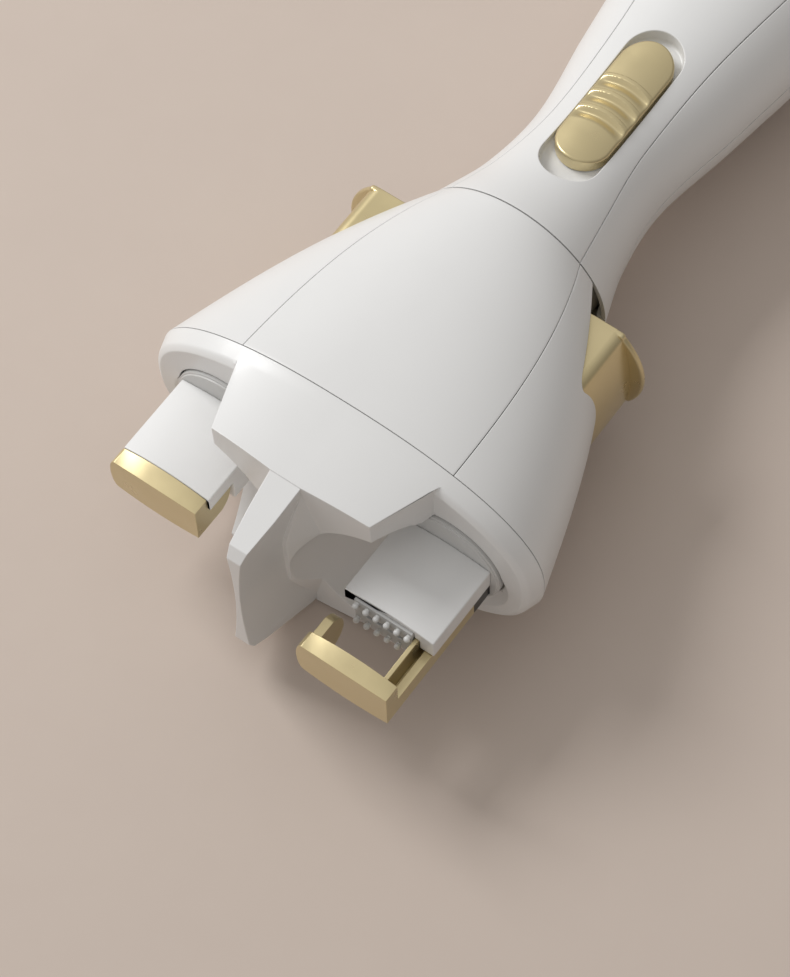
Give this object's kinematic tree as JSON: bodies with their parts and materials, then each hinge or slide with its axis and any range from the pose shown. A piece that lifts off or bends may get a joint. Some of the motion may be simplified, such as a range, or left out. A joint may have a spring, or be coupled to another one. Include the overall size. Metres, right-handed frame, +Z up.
{
  "type": "automatic hair braider",
  "caption": "Battery hair braider: slide-switch grip, turning bell-shaped head, divider guard, geared spinning hair clips with sliding clamps, sprung side levers.",
  "frame": {"origin": "bottom centre of the bounding box, on the surface that the part lies on, under the head's axis", "axes": "+Y along the axis from the clips to the grip's end, +X across the width, +Z up, out of the front with the slide switch"},
  "size_m": [0.0892, 0.2346, 0.0492],
  "materials": {
    "gloss_white": "moulded gloss white",
    "champagne": "satin champagne metallic",
    "gear_white": "moulded semi-matt white",
    "jaw_grey": "moulded light grey",
    "bump_rubber": "soft milky rubber",
    "slide_black": "moulded black",
    "steel": "turned",
    "bush_brass": "turned",
    "board_green": "solder mask",
    "cell_blue": "shrink sleeve over steel can"
  },
  "bodies": {
    "handle": {"handle_front_shell": "gloss_white", "handle_back_shell": "gloss_white", "handle_front_panel": "gloss_white", "end_cap": "gloss_white", "battery_cell": "cell_blue", "drive_motor": "steel", "gearbox": "gear_white", "control_board": "board_green", "slide_switch": "steel", "charge_board": "board_green", "charge_socket": "steel", "neck_bearing": "gear_white", "handle_screws": "steel"},
    "switch_button": {"switch_button": "champagne"},
    "head": {"head_front_panel": "gloss_white", "head_back_shell": "gloss_white", "head_base": "gloss_white", "gear_plate": "gear_white", "gear_plate_screws": "steel", "neck_collar": "gloss_white", "neck_circlip": "steel", "rotor_bush_left": "bush_brass", "rotor_bush_right": "bush_brass"},
    "drive": {"drive_shaft": "steel", "sun_gear": "gear_white", "shaft_coupler": "steel"},
    "rotor_left": {"rotor_disc_left": "gear_white", "rotor_gear_left": "gear_white", "clip_body_left": "gloss_white", "clip_jaw_left": "jaw_grey", "jaw_bumps_left": "bump_rubber"},
    "rotor_right": {"rotor_disc_right": "gear_white", "rotor_gear_right": "gear_white", "clip_body_right": "gloss_white", "clip_jaw_right": "jaw_grey", "jaw_bumps_right": "bump_rubber"},
    "clamp_left": {"clamp_left": "champagne", "clamp_slide_left": "slide_black"},
    "clamp_right": {"clamp_right": "champagne", "clamp_slide_right": "slide_black"},
    "lever_left": {"lever_left": "champagne"},
    "lever_right": {"lever_right": "champagne"}
  },
  "joints": [
    {"name": "switch_slide", "type": "slide", "parent": "handle", "child": "switch_button", "axis": [0, -1, 0], "range_m": [0, 0.0045]},
    {"name": "head_turn", "type": "hinge", "parent": "handle", "child": "head", "pos_m": [0, 0, 0.0247], "axis": [0, 1, 0], "continuous": true},
    {"name": "drive_spin", "type": "hinge", "parent": "head", "child": "drive", "pos_m": [0, 0, 0.0247], "axis": [0, 1, 0], "continuous": true},
    {"name": "rotor_spin_left", "type": "hinge", "parent": "head", "child": "rotor_left", "pos_m": [-0.02587, 0, 0.0247], "axis": [0, 1, 0], "continuous": true},
    {"name": "rotor_spin_right", "type": "hinge", "parent": "head", "child": "rotor_right", "pos_m": [0.02587, 0, 0.0247], "axis": [0, 1, 0], "continuous": true},
    {"name": "clamp_slide_left", "type": "slide", "parent": "rotor_left", "child": "clamp_left", "axis": [0, -1, 0], "range_m": [0, 0.0105]},
    {"name": "clamp_slide_right", "type": "slide", "parent": "rotor_right", "child": "clamp_right", "axis": [0, -1, 0], "range_m": [-0.0105, 0]},
    {"name": "lever_press_left", "type": "slide", "parent": "head", "child": "lever_left", "axis": [0, 1, 0], "range_m": [0, 0.0045], "stiffness_N_per_m": 250},
    {"name": "lever_press_right", "type": "slide", "parent": "head", "child": "lever_right", "axis": [0, 1, 0], "range_m": [0, 0.0045], "stiffness_N_per_m": 250}
  ],
  "couplings": [
    {"joint": "rotor_spin_left", "follows": "drive_spin", "ratio": -0.91667},
    {"joint": "rotor_spin_right", "follows": "drive_spin", "ratio": -0.91667}
  ]
}
